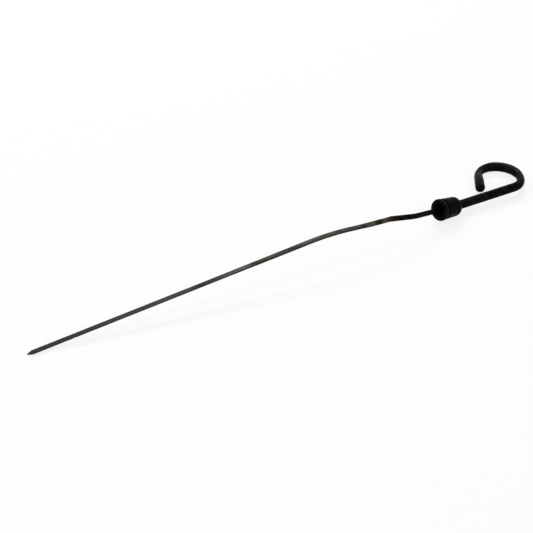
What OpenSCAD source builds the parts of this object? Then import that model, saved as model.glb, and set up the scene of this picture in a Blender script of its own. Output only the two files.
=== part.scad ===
// Engine oil dipstick: a hooked rod handle through a stepped stop cap, and a long strip blade with
// a pointed tip. The origin is the middle of the rod's nose, inside the cap, +X runs from the tip to
// the handle and +Z is up. The dipstick lies as it comes to rest, on its tip, its cap and its hook.

/* [Handle rod] */
// Diameter of the handle rod
rod_d = 8; // [7:0.5:9]
// Straight length from the cap to the first bend of the hook
shank_l = 55; // [50:0.5:75]
// Centreline radius of the tight bend at the far end of the shank
far_bend_r = 13.5; // [10:0.5:16]
// Angle of that tight bend
far_bend_a = 52; // [46:1:58]
// Centreline radius of the wide bow of the hook
bow_r = 20.8; // [18:0.1:23]
// Angle of the wide bow
bow_a = 102.6; // [97:0.2:106]
// Centreline radius of the bend that turns back to the shank
near_bend_r = 15.9; // [14:0.1:18]
// Angle of the bend that turns back to the shank
near_bend_a = 87.8; // [84:0.2:92]
// Straight length of the hook's tail, without its round end
tail_l = 17.6; // [14:0.1:19]
// How much the dipped coat adds to the diameter at the tail's end
tail_swell = 0.5; // [0:0.1:1]
// Centreline radius of the bend where the rod leaves the cap
neck_bend_r = 14; // [10:1:20]

/* [Stop cap] */
// Sideways angle between the cap's axis and the shank
cap_yaw = 16.6; // [12:0.2:20]
// Upward angle of the cap's axis towards the tip, against the hook's plane
cap_pitch = 16.6; // [12:0.2:20]
// Length of the cap along its axis
cap_l = 22.5; // [20:0.5:26]
// Diameter of the flange that seats on the tube
flange_d = 19.2; // [18.6:0.2:22]
// Thickness of the flange
flange_t = 2; // [1.5:0.1:3]
// Width of the groove behind the flange
groove_w = 3; // [2:0.25:4]
// Depth of the groove below the front edge of the body
groove_depth = 0.9; // [0.4:0.1:1.1]
// Diameter of the body at its front edge
body_d = 18.4; // [17.6:0.1:19]
// Diameter of the body at its rear shoulder
shoulder_d = 17.2; // [16:0.1:18]
// Radius of the rounded rear shoulder
shoulder_r = 3.6; // [2:0.1:4]
// Diameter of the socket that goes over the tube
socket_d = 12.4; // [11.8:0.1:13]
// Depth of the socket
socket_depth = 12; // [11:0.5:14]
// Chamfer at the socket's mouth and on the flange's front edge
mouth_chamfer = 0.6; // [0.3:0.1:0.8]

/* [Seal and rivet] */
// Thickness of the sealing washer at the bottom of the socket
seal_t = 2.5; // [2.2:0.1:3]
// How far the rod's slit end stands back from the seating face
rod_end_back = 5; // [4.5:0.25:6]
// Step all round down to the rod's turned nose, which guides the tube's mouth
nose_step = 0.2; // [0.1:0.05:0.4]
// Diameter of the rivet through the rod's slit end and the strip
rivet_d = 1.8; // [1.4:0.1:2]

/* [Strip] */
// Width of the strip
strip_w = 4.3; // [3.8:0.1:5]
// Thickness of the strip
strip_t = 1.25; // [1:0.05:1.6]
// Radius of the strip's rolled edges
strip_edge_r = 0.3; // [0.1:0.05:0.45]
// Thickness of the black coat that runs down the root of the strip
coat_t = 0.16; // [0.05:0.01:0.25]
// Turn of the strip between its root and its long lower run
twist_a = 75; // [60:5:90]
// Straight run of the root from the end of the rod's slit, out of the socket
exit_l = 32.1; // [28:0.1:36]
// Straight run of the rest of the coated root
root_l = 18.2; // [15:0.1:22]
// Length of the twisted stretch
twist_l = 16.6; // [14:0.1:22]
// Straight run between the twist and the long bend
upper_l = 19.1; // [12:0.1:22]
// Length of the straight lower run, with the point
lower_l = 237.5; // [200:0.5:260]
// Length of the point
point_l = 4; // [3:0.5:6]

/* [Bends of the strip] */
// Upward angle towards the tip, against the hook's plane, of the root past its first bend
root_pitch = 13; // [11:0.2:15]
// Centreline radius of that bend, which brings the strip back in line with the shank
root_bend_r = 30; // [22:1:38]
// Downward bend at the start of the twist
twist_bend_a = 9.9; // [9:0.1:12]
// Upward bend at the end of the twist
upper_bend_a = 2.5; // [1:0.1:4]
// Downward angle of the long bend
long_bend_a = 10.5; // [9:0.1:12]
// Centreline radius of the long bend
long_bend_r = 200; // [170:5:260]
// Centreline radius of the strip's short bends
short_bend_r = 16; // [12:1:22]

/* [Level marks] */
// Distance from the tip to the lower level mark
low_mark = 16; // [12:1:24]
// Distance between the two level marks
mark_gap = 22; // [15:1:30]
// Radius of the half-round nicks that mark the levels
nick_r = 0.5; // [0.3:0.05:0.7]

/* [Hidden] */
// Segments of a full circle in anything round
round_fn = 96;
$fn = round_fn;

// Clearance each side between pieces that are pressed, riveted or brazed together
fit_gap = 0.02;
// Cuts reach this far past the face that they open
past = 0.02;
// A bent stretch thins by this much all round, and reaches this far into its straight neighbours
bend_thin = 0.02;
bend_lap = 0.3;
// Segments of a full circle in a bend, so that a slight bend is still smooth
bend_fn = 720;
// Slices of the twisted stretch
twist_slices = 18;
// Straight lead at each end of the twisted stretch
twist_lead = 2 * bend_lap;
// Flats of each rolled edge of the strip
edge_flats = 2;
// Rounds that find the rest pose, and a first guess at which way is down
rest_rounds = 16;
first_down = [0, 0.1, -1];

rod_r = rod_d / 2;
tail_r = (rod_d + tail_swell) / 2;
nose_r = rod_r - nose_step;
nose_l = socket_depth - seal_t - rod_end_back;
groove_d = body_d - 2 * groove_depth;
body_start = flange_t + groove_w;

// The rivet sits under the middle of the seal, and the strip's tang reaches past it
rivet_at = socket_depth - seal_t / 2;
tang_end = rivet_at + 1.5 * rivet_d;
tang_l = tang_end - rod_end_back;
// The rivet's flat ends just meet the rod's surface
rivet_l = 2 * sqrt(rod_r * rod_r - rivet_d * rivet_d / 4);

// Turns of a vector about Y and about Z, and its direction alone
function turn_y(v, a) = [v[0] * cos(a) + v[2] * sin(a), v[1], v[2] * cos(a) - v[0] * sin(a)];
function turn_z(v, a) = [v[0] * cos(a) - v[1] * sin(a), v[0] * sin(a) + v[1] * cos(a), v[2]];
function unit(v) = v / norm(v);

// Directions in the frame of the hook's plane, whose X runs along the shank
function tipward(pitch) = [-cos(pitch), 0, sin(pitch)];
cap_way = turn_z(tipward(cap_pitch), cap_yaw);
// The same direction in the cap's own frame, whose X is its axis
function in_cap(v) = turn_y(turn_z(v, -cap_yaw), -cap_pitch);
// Roll that a bend adds to the section on its way from the cap to a run of that pitch
function added_roll(pitch) = 2 * atan(tan(cap_yaw / 2)
    * sin((cap_pitch + pitch) / 2) / cos((cap_pitch - pitch) / 2));

// The neck bend turns from the cap's axis to the shank, and the root bend from the axis to the root
shank_way = in_cap([1, 0, 0]);
root_way = turn_z(in_cap(tipward(root_pitch)), 180);
root_roll = added_roll(root_pitch);
tang_roll = -twist_a - root_roll;

// Steps of the rod's path, from its slit end to the start of the tail:
// straight run, then a bend by radius, angle and plane (0 turns left, 90 turns up), and whether
// it is tight enough to thin the rod
hook_plane = added_roll(0);
rod_path = [
    [
        cap_l - rod_end_back, neck_bend_r, acos(shank_way[0]),
        atan2(shank_way[2], shank_way[1]), true
    ],
    [shank_l, far_bend_r, far_bend_a, hook_plane, true],
    [0, bow_r, bow_a, hook_plane, false],
    [0, near_bend_r, near_bend_a, hook_plane, true],
];

// Steps of the strip's path, from the end of the slit to the start of the point:
// straight run, then a bend by radius, angle and plane, the roll that levels the frame again after
// it, roll of the section where the run starts and ends, and thickness of the coat
strip_path = [
    [
        exit_l, root_bend_r, acos(root_way[0]), atan2(root_way[2], root_way[1]),
        -root_roll, tang_roll, tang_roll, coat_t
    ],
    [root_l, short_bend_r, twist_bend_a, -90, 0, -twist_a, -twist_a, coat_t],
    [twist_l, short_bend_r, upper_bend_a, 90, 0, -twist_a, 0, 0],
    [upper_l, long_bend_r, long_bend_a, -90, 0, 0, 0, 0],
    [lower_l - point_l, 0, 0, 0, 0, 0, 0, 0],
];
twist_pitch = root_pitch - twist_bend_a;
upper_pitch = twist_pitch + upper_bend_a;
strip_ways = [
    cap_way, tipward(root_pitch), tipward(twist_pitch), tipward(upper_pitch),
    tipward(upper_pitch - long_bend_a)
];

// Places on the dipstick in the frame of the hook's plane, with the origin at the seat
function past_corner(r, from, to) = r * tan(acos(from * to) / 2) * (from + to);
function walk(i, p) = i == len(strip_path) - 1
    ? p + lower_l * strip_ways[i]
    : walk(i + 1, p + strip_path[i][0] * strip_ways[i]
        + past_corner(strip_path[i][1], strip_ways[i], strip_ways[i + 1]));
tip = walk(0, -rod_end_back * cap_way);
shoulder = -(cap_l - shoulder_r) * cap_way;
shank_start = -cap_l * cap_way + past_corner(neck_bend_r, -cap_way, [1, 0, 0]);
// Middles of the hook's bends
function next_centre(centre, r, next_r, heading) =
    centre + (next_r - r) * [-sin(heading), cos(heading), 0];
far_centre = shank_start + [shank_l, far_bend_r, 0];
bow_centre = next_centre(far_centre, far_bend_r, bow_r, far_bend_a);
near_centre = next_centre(bow_centre, bow_r, near_bend_r, far_bend_a + bow_a);

// Rest pose: the floor touches the tip, the cap's shoulder and the hook where it turns back. The
// lowest point of each depends a little on which way is down, so down is worked out in rounds.
function tip_low(down) = tip + strip_t / 2 * down;
function cap_low(down) = shoulder + shoulder_r * down
    + (shoulder_d / 2 - shoulder_r) * unit(down - (down * cap_way) * cap_way);
function hook_low(down) = near_centre + rod_r * down
    + near_bend_r * unit([down[0], down[1], 0]);
function rest(rounds, down) = rounds == 0
    ? down
    : let (from = tip_low(down))
        rest(rounds - 1, unit(cross(hook_low(down) - from, cap_low(down) - from)));
rest_down = rest(rest_rounds, unit(first_down));
rest_roll = -asin(rest_down[1]);
rest_pitch = atan2(rest_down[0], -rest_down[2]);

// The cap's own frame, in the rest pose: its axis is X, and X is counted from the seat
module on_cap() {
    rotate([rest_roll, 0, 0]) rotate([0, rest_pitch, 0]) rotate([0, cap_pitch, cap_yaw])
        translate([-rod_end_back - nose_l / 2, 0, 0]) children();
}

// The strip's own frame: it starts at the bottom of the rod's slit and runs along +X
module on_strip() {
    on_cap() translate([tang_end, 0, 0]) rotate([0, 0, 180]) children();
}

// A straight run along +X of the section that is passed in
module run(len) {
    rotate([90, 0, 90]) linear_extrude(len) children();
}

// A bend from +X towards +Y, with that plane turned about X, and a lap at both ends
module bend(r, angle, plane, lap) {
    lap_a = lap / r * 180 / PI;
    rotate([plane, 0, 0]) translate([0, r, 0]) rotate([0, 0, -90 - lap_a])
        rotate_extrude(angle = angle + 2 * lap_a, $fn = bend_fn)
            translate([r, 0]) mirror([1, 0]) rotate(-plane) children();
}

// The place where that bend ends
module past_bend(r, angle, plane) {
    rotate([plane, 0, 0]) translate([r * sin(angle), r * (1 - cos(angle)), 0])
        rotate([0, 0, angle]) rotate([-plane, 0, 0]) children();
}

// The bent rod from step i to the tail, whose dipped end is thicker and round
module bent_rod(i = 0) {
    if (i < len(rod_path)) {
        step = rod_path[i];
        if (step[0] > 0) run(step[0]) circle(rod_r, $fn = round_fn);
        translate([step[0], 0, 0]) {
            bend(step[1], step[2], step[3], step[4] ? bend_lap : 0)
                circle(step[4] ? rod_r - bend_thin : rod_r, $fn = round_fn);
            past_bend(step[1], step[2], step[3]) bent_rod(i + 1);
        }
    } else {
        rotate([0, 90, 0]) cylinder(h = tail_l, r1 = rod_r, r2 = tail_r);
        translate([tail_l, 0, 0]) sphere(tail_r);
    }
}

// Slit of the rod's end, open to the strip's side
module slit() {
    rotate([tang_roll, 0, 0]) translate([-fit_gap, -rod_d, -strip_t / 2 - fit_gap])
        cube([tang_l + rod_d, 2 * rod_d, strip_t + 2 * fit_gap]);
}

// What is turned off the rod's end to leave the nose
module nose_cut() {
    translate([rod_end_back - past, 0, 0]) rotate([0, 90, 0]) difference() {
        cylinder(h = nose_l + past, r = rod_r + 1);
        translate([0, 0, -1]) cylinder(h = nose_l + 2, r = nose_r);
    }
}

// The rivet's barrel, across the strip's face
module rivet_barrel(d, h) {
    translate([tang_end - rivet_at, 0, 0]) rotate([tang_roll, 0, 0])
        cylinder(h = h, d = d, center = true);
}

module handle_rod() {
    color([0.07, 0.07, 0.07]) difference() {
        on_cap() translate([rod_end_back, 0, 0]) bent_rod();
        on_cap() nose_cut();
        on_strip() slit();
        on_strip() rivet_barrel(rivet_d + 2 * fit_gap, rod_d + 1);
    }
}

// Half of the cap's section: distance from the axis, then distance from the seat
module cap_outline() {
    // flange with its front edge broken
    polygon([
        [0, 0], [flange_d / 2 - mouth_chamfer, 0], [flange_d / 2, mouth_chamfer],
        [flange_d / 2, flange_t], [0, flange_t]
    ]);
    // groove and tapered body
    square([groove_d / 2, body_start]);
    polygon([
        [0, body_start], [body_d / 2, body_start], [shoulder_d / 2, cap_l - shoulder_r],
        [0, cap_l - shoulder_r]
    ]);
    // rounded shoulder
    translate([shoulder_d / 2 - shoulder_r, cap_l - shoulder_r]) circle(shoulder_r);
    translate([0, cap_l - shoulder_r]) square([shoulder_d / 2 - shoulder_r, shoulder_r]);
}

// Half of the section of what is hollow in the cap
module cap_hollow() {
    square([socket_d / 2, socket_depth]);
    polygon([
        [0, -past], [socket_d / 2 + mouth_chamfer + past, -past],
        [socket_d / 2, mouth_chamfer], [0, mouth_chamfer]
    ]);
    square([rod_r + fit_gap, cap_l + 1]);
}

module stop_cap() {
    color([0.09, 0.09, 0.09]) on_cap() rotate([0, 90, 0]) rotate_extrude()
        difference() {
            cap_outline();
            cap_hollow();
        }
}

module seal_washer() {
    color([0.16, 0.15, 0.15]) on_cap() translate([socket_depth - seal_t, 0, 0]) rotate([0, 90, 0])
        difference() {
            cylinder(h = seal_t, d = socket_d - 2 * fit_gap);
            translate([0, 0, -1]) cylinder(h = seal_t + 2, r = rod_r + fit_gap);
        }
}

module strip_rivet() {
    color([0.45, 0.44, 0.42]) on_strip() rivet_barrel(rivet_d, rivet_l);
}

// Section of the strip, its width along X, with the coat around it
module strip_section(coat) {
    r = strip_edge_r + coat;
    corner = [strip_w / 2 - strip_edge_r, strip_t / 2 - strip_edge_r];
    polygon([
        for (i = [0:3], k = [0:edge_flats])
            let (a = 90 * (i + k / edge_flats), side = [[1, 1], [-1, 1], [-1, -1], [1, -1]][i])
                [side[0] * corner[0] + r * cos(a), side[1] * corner[1] + r * sin(a)]
    ]);
}

// A run of the strip that turns from one roll to another
module twisted_run(len, from, to) {
    run(twist_lead) rotate(from) strip_section(0);
    translate([twist_lead, 0, 0]) rotate([90, 0, 90])
        linear_extrude(len - 2 * twist_lead, twist = from - to, slices = twist_slices,
            segments = 4 * (edge_flats + 1))
            rotate(from) strip_section(0);
    translate([len - twist_lead, 0, 0]) run(twist_lead) rotate(to) strip_section(0);
}

// The flat point at the end of the strip
module point() {
    translate([0, 0, -strip_t / 2]) linear_extrude(strip_t)
        polygon([[0, -strip_w / 2], [point_l, 0], [0, strip_w / 2]]);
}

// Half-round nicks in both edges, at a distance from the tip
module level_nicks(from_tip) {
    for (side = [-1, 1])
        translate([lower_l - from_tip, side * strip_w / 2, -strip_t])
            cylinder(h = 2 * strip_t, r = nick_r);
}

// The strip from step i to its tip
module bent_strip(i = 0) {
    step = strip_path[i];
    if (i == len(strip_path) - 1) {
        difference() {
            union() {
                run(step[0]) strip_section(0);
                translate([step[0], 0, 0]) point();
            }
            level_nicks(low_mark);
            level_nicks(low_mark + mark_gap);
        }
    } else {
        if (step[5] == step[6]) run(step[0]) rotate(step[5]) strip_section(step[7]);
        else twisted_run(step[0], step[5], step[6]);
        translate([step[0], 0, 0]) {
            bend(step[1], step[2], step[3], bend_lap)
                rotate(step[6]) strip_section(step[7] - bend_thin);
            past_bend(step[1], step[2], step[3]) rotate([step[4], 0, 0]) bent_strip(i + 1);
        }
    }
}

module blade() {
    color([0.33, 0.30, 0.27]) difference() {
        on_strip() {
            run(tang_l) rotate(tang_roll) strip_section(0);
            translate([tang_l, 0, 0]) bent_strip();
        }
        on_strip() rivet_barrel(rivet_d + 2 * fit_gap, 2 * strip_t);
    }
}

handle_rod();
stop_cap();
seal_washer();
strip_rivet();
blade();
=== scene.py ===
# %% [markdown]
# # An engine oil dipstick, dressed for a close look
# The solids of this dipstick come from a CAD model: a rod bent into a finger hook, a stop cap, a
# seal, a rivet and a long strip. Here each visible piece gets the softer shape and the finish of
# the real one. The frame is loaded first, and its box is kept, because the dressed dipstick may
# not outgrow it.

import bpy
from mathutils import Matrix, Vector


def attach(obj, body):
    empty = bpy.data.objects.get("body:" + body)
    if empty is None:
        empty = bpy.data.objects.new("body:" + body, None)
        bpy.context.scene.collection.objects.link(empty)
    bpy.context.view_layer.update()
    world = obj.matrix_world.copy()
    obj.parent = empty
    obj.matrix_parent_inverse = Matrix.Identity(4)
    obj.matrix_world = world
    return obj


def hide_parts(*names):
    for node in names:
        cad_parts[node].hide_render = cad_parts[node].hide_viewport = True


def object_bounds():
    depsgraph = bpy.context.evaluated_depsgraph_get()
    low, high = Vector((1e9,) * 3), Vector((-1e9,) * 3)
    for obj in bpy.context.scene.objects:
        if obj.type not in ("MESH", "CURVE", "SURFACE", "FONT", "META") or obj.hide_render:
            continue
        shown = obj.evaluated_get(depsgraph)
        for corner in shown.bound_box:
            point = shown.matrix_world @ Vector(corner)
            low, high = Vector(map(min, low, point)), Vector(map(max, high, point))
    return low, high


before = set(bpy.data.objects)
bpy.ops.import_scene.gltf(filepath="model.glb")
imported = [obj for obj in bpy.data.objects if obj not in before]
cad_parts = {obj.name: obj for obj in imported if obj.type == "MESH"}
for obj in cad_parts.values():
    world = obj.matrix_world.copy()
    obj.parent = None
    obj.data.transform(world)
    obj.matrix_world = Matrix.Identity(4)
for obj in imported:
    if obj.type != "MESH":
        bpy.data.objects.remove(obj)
cad_low, cad_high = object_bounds()
print("CAD box, mm:", [round(v * 1000, 1) for v in (*cad_low, *cad_high)])

# %% [markdown]
# ## Modules and units
# Blender's world is in metres, but a maker thinks of a dipstick in millimetres. So nearly every
# size below is in mm, and is multiplied by MM where it enters Blender.

# %% Modules that the lesson uses
import math

import bmesh
import bpy
from mathutils import Matrix, Vector

MM = 0.001
print("Blender", bpy.app.version_string)

# %% [markdown]
# ## Where things are
# The dipstick lies on a table, tipped a little, so nothing on it is square to the world. The
# simplest way to stay sane is to write each piece in the frame it was made in, and to turn that
# frame once. The hook lies in one plane. The stop cap leans out of it, sideways and, towards the
# tip, upwards, because the handle is bent right behind the cap.

# %% The two frames of the dipstick
REST_ROLL, REST_PITCH = -6.2341, -1.7933
CAP_YAW, CAP_PITCH = 16.6, 16.6
SEAT_TO_ORIGIN = 7.25

hook_turn = (Matrix.Rotation(math.radians(REST_ROLL), 3, "X")
             @ Matrix.Rotation(math.radians(REST_PITCH), 3, "Y"))
cap_turn = (hook_turn @ Matrix.Rotation(math.radians(CAP_YAW), 3, "Z")
            @ Matrix.Rotation(math.radians(CAP_PITCH), 3, "Y"))


def from_cap(point_mm):
    """A point in the cap's frame, in mm from the seating face, as a place in the world in metres."""
    return cap_turn @ (Vector(point_mm) - Vector((SEAT_TO_ORIGIN, 0, 0))) * MM


print("the seat's middle, mm:", [round(v / MM, 1) for v in from_cap((0, 0, 0))])

# %% [markdown]
# ## Camera
# The photograph was matched by fitting a pinhole camera and the bends of the rod and the strip to
# points along their middles. The result is a camera about 0.86 m away that looks down at 43
# degrees, from the tip's side. The image is 533 pixels square, so the focal length in pixels
# turns into a lens length by the sensor's width.

# %% Place the camera
IMAGE_SIDE, FOCAL_PX = 533, 978
SENSOR_WIDTH = 36
NEAREST, FURTHEST = 0.02, 20  # metres
CAMERA_AT = Vector((-397.67, -534.92, 544.09)) * MM
CAMERA_RIGHT = Vector((0.918628, -0.395123, 0.0))
CAMERA_UP = Vector((0.271270, 0.630680, 0.727086))
CAMERA_ROLL = math.radians(0.077)

right = CAMERA_RIGHT * math.cos(CAMERA_ROLL) - CAMERA_UP * math.sin(CAMERA_ROLL)
up = CAMERA_UP * math.cos(CAMERA_ROLL) + CAMERA_RIGHT * math.sin(CAMERA_ROLL)
look_turn = Matrix((right, up, right.cross(up))).transposed()

camera_data = bpy.data.cameras.new("camera")
camera_data.sensor_width = SENSOR_WIDTH
camera_data.lens = SENSOR_WIDTH * FOCAL_PX / IMAGE_SIDE
camera_data.clip_start, camera_data.clip_end = NEAREST, FURTHEST
camera = bpy.data.objects.new("camera", camera_data)
camera.matrix_world = Matrix.Translation(CAMERA_AT) @ look_turn.to_4x4()
bpy.context.scene.collection.objects.link(camera)
bpy.context.scene.camera = camera
print("lens, mm:", round(camera_data.lens, 2))

# %% [markdown]
# ## Helpers for any node tree
# Materials and Geometry Nodes are both node trees, and long lists of links are hard to read. So a
# few helpers keep the trees short. One adds a node and fills in its sockets: a plain value is
# set, and another node's output is linked. Two more are the steps that come back most often, a
# sum and a ramp.

# %% Add nodes, sums and ramps


def fill_socket(tree, socket, value):
    """Links a node's output to the socket, or sets a plain value."""
    if isinstance(value, bpy.types.NodeSocket):
        tree.links.new(value, socket)
    else:
        socket.default_value = value


def add_node(tree, kind, inputs=None, **settings):
    """A new node, with its settings and the values of its inputs, by name or number."""
    node = tree.nodes.new(kind)
    for name, value in settings.items():
        setattr(node, name, value)
    for name, value in (inputs or {}).items():
        fill_socket(tree, node.inputs[name], value)
    return node


def calc(tree, operation, *values):
    """The result of a Math node."""
    node = add_node(tree, "ShaderNodeMath", dict(enumerate(values)), operation=operation)
    return node.outputs[0]


def ramp(tree, number, start, end, low=0.0, high=1.0):
    """Low where the number is start, high where it is end, and held beyond them."""
    node = add_node(tree, "ShaderNodeMapRange", {
        "Value": number, "From Min": start, "From Max": end, "To Min": low, "To Max": high})
    return node.outputs["Result"]


print("helpers for trees:", [f.__name__ for f in (fill_socket, add_node, calc, ramp)])

# %% [markdown]
# ## Helpers for finishes
# A finish is a Principled shader and a few masks. Real wear is never even, so most masks are
# noise that is cut to soft spots. A patch is the other kind, at one place along a piece. Relief
# is a bump of the normal: a few tenths of a millimetre at most, far too little to be worth
# modelling.

# %% Masks, colours and relief


def new_finish(name):
    """A material with its tree and its Principled shader."""
    finish = bpy.data.materials.new(name)
    finish.use_nodes = True
    return finish, finish.node_tree, finish.node_tree.nodes["Principled BSDF"]


def object_place(tree):
    """The place on the piece, in its own coordinates."""
    return add_node(tree, "ShaderNodeTexCoord").outputs["Object"]


def carried(tree, name, out="Fac"):
    """What the mesh carries under this name, as a number or a vector."""
    return add_node(tree, "ShaderNodeAttribute", attribute_name=name).outputs[out]


def noise_of(tree, where, scale, detail):
    """Soft noise from 0 to 1."""
    node = add_node(tree, "ShaderNodeTexNoise", {"Vector": where, "Scale": scale, "Detail": detail})
    return node.outputs["Fac"]


def spots(tree, where, scale, low, high, detail=3.0):
    """Noise cut to a soft mask, 0 below low and 1 above high."""
    return ramp(tree, noise_of(tree, where, scale, detail), low, high)


def patch(tree, number, place, half):
    """1 where the number is at the place, fading to 0 over half on both sides."""
    off = calc(tree, "ABSOLUTE", calc(tree, "SUBTRACT", number, place))
    fade = add_node(tree, "ShaderNodeMapRange", {
        "Value": off, "From Min": half, "From Max": half * 0.3}, interpolation_type="SMOOTHSTEP")
    return fade.outputs["Result"]


def blend_colours(tree, mask, first, second):
    """First where the mask is 0, second where it is 1."""
    mix = add_node(tree, "ShaderNodeMix", data_type="RGBA")
    for name, value in (("Factor", mask), ("A", first), ("B", second)):
        fill_socket(tree, mix.inputs[name], value)
    return mix.outputs["Result"]


def give_relief(tree, shader, height, strength, depth):
    """Bends the shader's normal by a height, as a relief of that depth in metres."""
    bump = add_node(tree, "ShaderNodeBump", {
        "Height": height, "Strength": strength, "Distance": depth})
    tree.links.new(bump.outputs["Normal"], shader.inputs["Normal"])


print("helpers for finishes:", [f.__name__ for f in (spots, patch, blend_colours, give_relief)])

# %% [markdown]
# ## Finish: the dipped black coat of the handle
# The handle is dipped in black enamel. It is nearly black, but not even: the coat has a fine orange
# peel, hands have dulled it in patches, and there is a film of old oil and dust. So the colour hardly
# changes, and most of the work is done by roughness and a low relief. Two places get painted light in
# their colour: the upper side of the tail a pinkish brown painted highlight, and the bend by the
# shank an olive painted reflection. The sweep below stores a number for this painted highlight, and
# where it is high the colour turns from olive to brown, broken up by noise. The sheen is set very
# low, because the real coat stays almost black between white panels.

# %% Make the handle's coat
CLEAN_BLACK, FILMED_BLACK = (0.0005, 0.0005, 0.0004, 1), (0.0072, 0.0064, 0.0050, 1)
# the olive is a painted reflection for the bend by the shank, the brown a painted highlight for the
# tail
OLIVE_REFLECTION, BROWN_HIGHLIGHT = (0.0200, 0.0200, 0.0110, 1), (0.0330, 0.0270, 0.0250, 1)
DUST, DUST_SHARE = (0.018, 0.016, 0.013, 1), 0.55
HANDLE_SHEEN = 0.022

coat_finish, tree, shader = new_finish("dipped_coat")
place = object_place(tree)
film = spots(tree, place, 190, 0.40, 0.62)
painted_highlight = carried(tree, "painted_highlight")
speckle = spots(tree, place, 900, 0.60, 0.74, detail=1.0)
black = blend_colours(tree, film, CLEAN_BLACK, FILMED_BLACK)
# painted highlight: the colour turns olive, then brown, where the stored highlight number is high
highlight_colour = blend_colours(tree, ramp(tree, painted_highlight, 0.45, 0.8), OLIVE_REFLECTION, BROWN_HIGHLIGHT)
highlight_spots = calc(tree, "MULTIPLY", painted_highlight, spots(tree, place, 260, 0.34, 0.56))
black = blend_colours(tree, highlight_spots, black, highlight_colour)
dusty = blend_colours(tree, calc(tree, "MULTIPLY", speckle, DUST_SHARE), black, DUST)
tree.links.new(dusty, shader.inputs["Base Color"])
dull = spots(tree, place, 120, 0.35, 0.7)
tree.links.new(ramp(tree, dull, 0, 1, 0.20, 0.40), shader.inputs["Roughness"])
shader.inputs["Specular IOR Level"].default_value = HANDLE_SHEEN
give_relief(tree, shader, noise_of(tree, place, 420, 2.0), 0.35, 0.25 * MM)
print(coat_finish.name, "has", len(tree.nodes), "nodes")

# %% [markdown]
# ## Finish: the stop cap's paint
# The cap is turned steel with thin black paint. Its edges rub on the tube and in the hand, so the
# paint there is thin and brown. These lighter edges also stand in for the highlights on the rims, so
# they are partly real wear and partly painted highlight. The lathe below gives each point a number,
# edge, that is 1 on an outer edge and 0 away from it, and the paint reads that number and breaks it
# up with noise. The wear could be painted on by hand instead, but it would stay behind when the
# outline changes.

# %% Make the cap's paint
PAINT_BLACK, GRIMY_PAINT = (0.0007, 0.0007, 0.0006, 1), (0.0050, 0.0043, 0.0034, 1)
# the rubbed colour is partly real wear and partly a painted highlight on the outer edges
RUBBED_STEEL_AND_HIGHLIGHT, RUBBED_METAL = (0.021, 0.0185, 0.0155, 1), 0.6
CAP_SHEEN = 0.012

cap_finish, tree, shader = new_finish("cap_paint")
place = object_place(tree)
# outer edges: partly real wear, partly painted highlight
rubbed_and_highlight = calc(tree, "MULTIPLY", carried(tree, "edge"), spots(tree, place, 700, 0.34, 0.62))
grime = spots(tree, place, 160, 0.42, 0.66)
paint = blend_colours(tree, grime, PAINT_BLACK, GRIMY_PAINT)
paint = blend_colours(tree, rubbed_and_highlight, paint, RUBBED_STEEL_AND_HIGHLIGHT)
tree.links.new(paint, shader.inputs["Base Color"])
tree.links.new(ramp(tree, grime, 0, 1, 0.32, 0.55), shader.inputs["Roughness"])
shader.inputs["Specular IOR Level"].default_value = CAP_SHEEN
tree.links.new(calc(tree, "MULTIPLY", rubbed_and_highlight, RUBBED_METAL), shader.inputs["Metallic"])
give_relief(tree, shader, noise_of(tree, place, 600, 3.0), 0.3, 0.2 * MM)
print(cap_finish.name, "has", len(tree.nodes), "nodes")

# %% [markdown]
# ## Finish: the strip's spring steel
# The strip is rolled spring steel, darkened by heat and oil. Rolling leaves fine lines along it, so
# the pattern has to follow the strip round its bends and its twist. Object coordinates can't do that.
# The sweep below therefore stores a vector, strip_space: the distance from the tip, the place across
# the width and the place through the thickness, all in metres. Noise read in that space and squeezed
# along its length gives rolled lines that bend with the steel. The steel also changes along its
# length. Towards the tip it is painted a little lighter and warmer, which is painted light in place
# of more lamp light there. The last bare stretch before the coat is varnished dark brown by hot oil,
# with two tan painted highlights where the twisted face turns to the light.

# %% Make the strip's steel
DARK_STEEL, LIGHT_STEEL = (0.011, 0.0098, 0.0082, 1), (0.033, 0.029, 0.0245, 1)
OIL_STAIN, STAIN_SHARE = (0.0085, 0.0080, 0.0052, 1), 0.8
# painted light: the steel is lighter and warmer towards the tip
TIP_LIT_STEEL, TIP_LIGHT_SHARE = (0.043, 0.0345, 0.0300, 1), 0.42
# the tan colour and its two patches below are painted highlights, where the twisted face turns to the
# light
VARNISH, TAN_HIGHLIGHT = (0.0090, 0.0062, 0.0036, 1), (0.062, 0.050, 0.036, 1)
# places along the strip, in mm from the tip
TIP_LIGHT_FROM, TIP_LIGHT_FULL = 160, 90
VARNISH_FROM, VARNISHED = 286, 300
TAN_HIGHLIGHT_PLACES, TAN_HIGHLIGHT_HALF = (308.5, 293.5), 6.2


def strip_noise_space(tree, space, along, across):
    """Strip coordinates scaled for noise, with one number along the strip and one across it."""
    scale = (along, across, across)
    return add_node(tree, "ShaderNodeMapping", {"Vector": space, "Scale": scale}).outputs["Vector"]


steel_finish, tree, shader = new_finish("strip_steel")
space = carried(tree, "strip_space", "Vector")
lines = spots(tree, strip_noise_space(tree, space, 60, 2600), 1.0, 0.36, 0.66)
stain = spots(tree, strip_noise_space(tree, space, 60, 210), 1.0, 0.42, 0.62)
steel = blend_colours(tree, lines, DARK_STEEL, LIGHT_STEEL)
steel = blend_colours(tree, calc(tree, "MULTIPLY", stain, STAIN_SHARE), steel, OIL_STAIN)
reach = add_node(tree, "ShaderNodeSeparateXYZ", {"Vector": space}).outputs["X"]
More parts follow.
